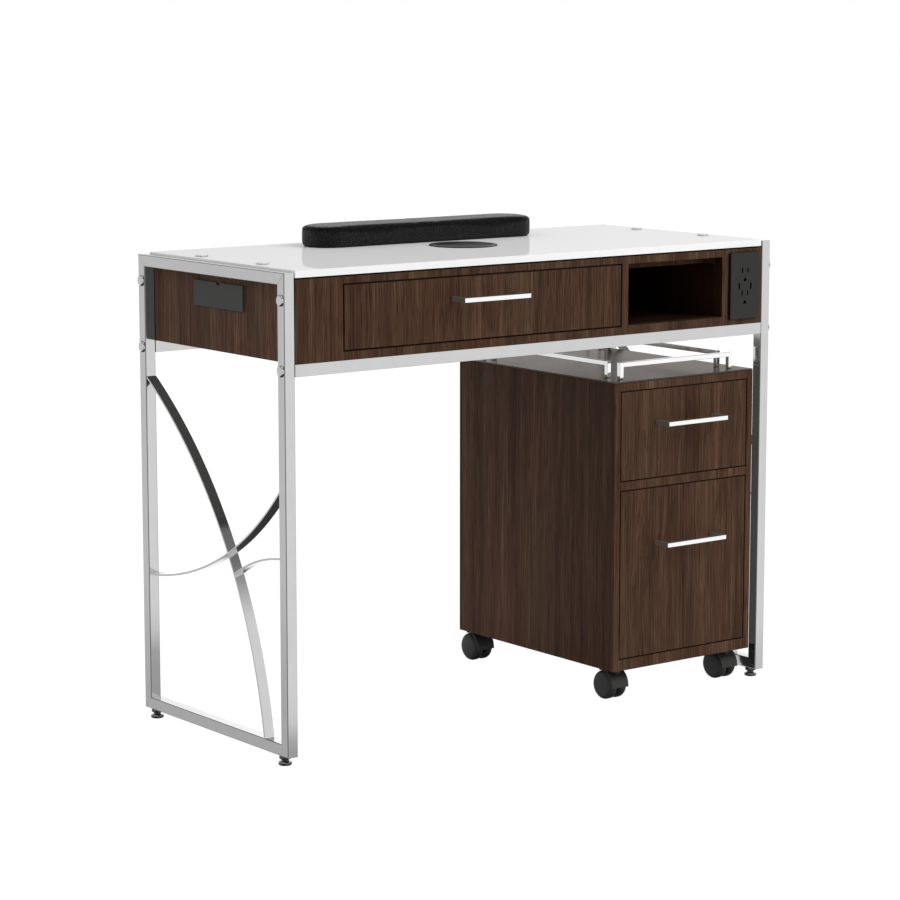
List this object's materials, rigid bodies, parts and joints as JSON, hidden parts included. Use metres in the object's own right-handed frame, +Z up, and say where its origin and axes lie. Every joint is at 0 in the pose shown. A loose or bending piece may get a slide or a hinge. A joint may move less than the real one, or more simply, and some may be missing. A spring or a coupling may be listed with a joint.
{
  "type": "manicure table",
  "caption": "Manicure table on a chrome frame with a white glass top, padded arm rest, dust vent, walnut apron with drawer, cubby and outlet, and a rolling drawer cart parked beneath.",
  "frame": {"origin": "on the floor, under the centre of the whole object's outline", "axes": "+Z up, +X to the right along the desk, the drawers open towards -Y"},
  "size_m": [1.009, 0.472, 0.7987],
  "materials": {
    "walnut": "dark walnut laminate with fine streaks, satin, grain upright on every face",
    "drawer_board": "plain dark laminated board inside the drawers",
    "chrome": "polished chrome plate on steel tube, bar and fixings",
    "zinc_steel": "bright plated steel levelling feet",
    "white_glass": "opaque white back painted glass, high gloss",
    "black_vinyl": "black upholstery vinyl with a fine pebble grain",
    "top_sheet": "dark satin metal sheet that mirrors the rails softly",
    "black_plastic": "matte black moulded plastic"
  },
  "bodies": {
    "desk": {"apron_back_panel": "walnut", "apron_bottom_panel": "walnut", "apron_face_frame": "walnut", "apron_left_panel": "walnut", "apron_right_panel": "walnut", "apron_top_panel": "walnut", "arm_rest": "black_vinyl", "back_rail": "chrome", "bolt_left_back_lower": "chrome", "bolt_left_back_upper": "chrome", "bolt_left_front_lower": "chrome", "bolt_left_front_upper": "chrome", "bolt_right_back_lower": "chrome", "bolt_right_back_upper": "chrome", "bolt_right_front_lower": "chrome", "bolt_right_front_upper": "chrome", "cubby_box": "walnut", "fan_housing": "black_plastic", "front_rail": "chrome", "glass_fixing_left_back": "chrome", "glass_fixing_left_front": "chrome", "glass_fixing_right_back": "chrome", "glass_fixing_right_front": "chrome", "glass_top": "white_glass", "left_curved_brace": "chrome", "left_end_frame": "chrome", "power_outlet": "black_plastic", "right_curved_brace": "chrome", "right_end_frame": "chrome", "vent_grille": "black_plastic"},
    "desk_drawer": {"desk_drawer_front": "walnut", "desk_drawer_box": "drawer_board", "desk_drawer_pull": "chrome"},
    "fan_impeller": {"fan_rotor": "black_plastic"},
    "filter": {"filter_tray": "black_plastic"},
    "foot_left_front": {"levelling_foot_left_front": "zinc_steel"},
    "foot_left_back": {"levelling_foot_left_back": "zinc_steel"},
    "foot_right_front": {"levelling_foot_right_front": "zinc_steel"},
    "foot_right_back": {"levelling_foot_right_back": "zinc_steel"},
    "cart": {"cart_carcass": "walnut", "cart_back_panel": "walnut", "cart_top_sheet": "top_sheet", "gallery_rail_back": "chrome", "gallery_rail_front": "chrome", "gallery_rail_left": "chrome", "gallery_rail_right": "chrome"},
    "cart_upper_drawer": {"cart_upper_drawer_front": "walnut", "cart_upper_drawer_box": "drawer_board", "cart_upper_drawer_pull": "chrome"},
    "cart_lower_drawer": {"cart_lower_drawer_front": "walnut", "cart_lower_drawer_box": "drawer_board", "cart_lower_drawer_pull": "chrome"},
    "caster_front_left_fork": {"caster_front_left_hood": "black_plastic"},
    "caster_front_left_wheel_pair": {"caster_front_left_wheels": "black_plastic"},
    "caster_front_right_fork": {"caster_front_right_hood": "black_plastic"},
    "caster_front_right_wheel_pair": {"caster_front_right_wheels": "black_plastic"},
    "caster_back_left_fork": {"caster_back_left_hood": "black_plastic"},
    "caster_back_left_wheel_pair": {"caster_back_left_wheels": "black_plastic"},
    "caster_back_right_fork": {"caster_back_right_hood": "black_plastic"},
    "caster_back_right_wheel_pair": {"caster_back_right_wheels": "black_plastic"}
  },
  "joints": [
    {"name": "desk_drawer_slide", "type": "slide", "parent": "desk", "child": "desk_drawer", "axis": [0, -1, 0], "range_m": [0, 0.25]},
    {"name": "fan_spin", "type": "hinge", "parent": "desk", "child": "fan_impeller", "pos_m": [0, 0.0085, 0.71], "axis": [0, 0, 1], "continuous": true},
    {"name": "filter_slide", "type": "slide", "parent": "desk", "child": "filter", "axis": [-1, 0, 0], "range_m": [0, 0.12]},
    {"name": "foot_left_front_turn", "type": "hinge", "parent": "desk", "child": "foot_left_front", "pos_m": [-0.4905, -0.1785, 0], "axis": [0, 0, 1], "continuous": true},
    {"name": "foot_left_back_turn", "type": "hinge", "parent": "desk", "child": "foot_left_back", "pos_m": [-0.4905, 0.1955, 0], "axis": [0, 0, 1], "continuous": true},
    {"name": "foot_right_front_turn", "type": "hinge", "parent": "desk", "child": "foot_right_front", "pos_m": [0.4905, -0.1785, 0], "axis": [0, 0, 1], "continuous": true},
    {"name": "foot_right_back_turn", "type": "hinge", "parent": "desk", "child": "foot_right_back", "pos_m": [0.4905, 0.1955, 0], "axis": [0, 0, 1], "continuous": true},
    {"name": "cart_roll_out", "type": "slide", "parent": "desk", "child": "cart", "axis": [0, -1, 0], "range_m": [0, 0.5]},
    {"name": "cart_upper_drawer_slide", "type": "slide", "parent": "cart", "child": "cart_upper_drawer", "axis": [0, -1, 0], "range_m": [0, 0.3]},
    {"name": "cart_lower_drawer_slide", "type": "slide", "parent": "cart", "child": "cart_lower_drawer", "axis": [0, -1, 0], "range_m": [0, 0.3]},
    {"name": "caster_front_left_swivel", "type": "hinge", "parent": "cart", "child": "caster_front_left_fork", "pos_m": [0.188, -0.1695, 0.0555], "axis": [0, 0, 1], "continuous": true},
    {"name": "caster_front_left_roll", "type": "hinge", "parent": "caster_front_left_fork", "child": "caster_front_left_wheel_pair", "pos_m": [0.188, -0.1545, 0.0245], "axis": [1, 0, 0], "continuous": true},
    {"name": "caster_front_right_swivel", "type": "hinge", "parent": "cart", "child": "caster_front_right_fork", "pos_m": [0.438, -0.1695, 0.0555], "axis": [0, 0, 1], "continuous": true},
    {"name": "caster_front_right_roll", "type": "hinge", "parent": "caster_front_right_fork", "child": "caster_front_right_wheel_pair", "pos_m": [0.438, -0.1545, 0.0245], "axis": [1, 0, 0], "continuous": true},
    {"name": "caster_back_left_swivel", "type": "hinge", "parent": "cart", "child": "caster_back_left_fork", "pos_m": [0.188, 0.1965, 0.0555], "axis": [0, 0, 1], "continuous": true},
    {"name": "caster_back_left_roll", "type": "hinge", "parent": "caster_back_left_fork", "child": "caster_back_left_wheel_pair", "pos_m": [0.188, 0.2115, 0.0245], "axis": [1, 0, 0], "continuous": true},
    {"name": "caster_back_right_swivel", "type": "hinge", "parent": "cart", "child": "caster_back_right_fork", "pos_m": [0.438, 0.1965, 0.0555], "axis": [0, 0, 1], "continuous": true},
    {"name": "caster_back_right_roll", "type": "hinge", "parent": "caster_back_right_fork", "child": "caster_back_right_wheel_pair", "pos_m": [0.438, 0.2115, 0.0245], "axis": [1, 0, 0], "continuous": true}
  ]
}
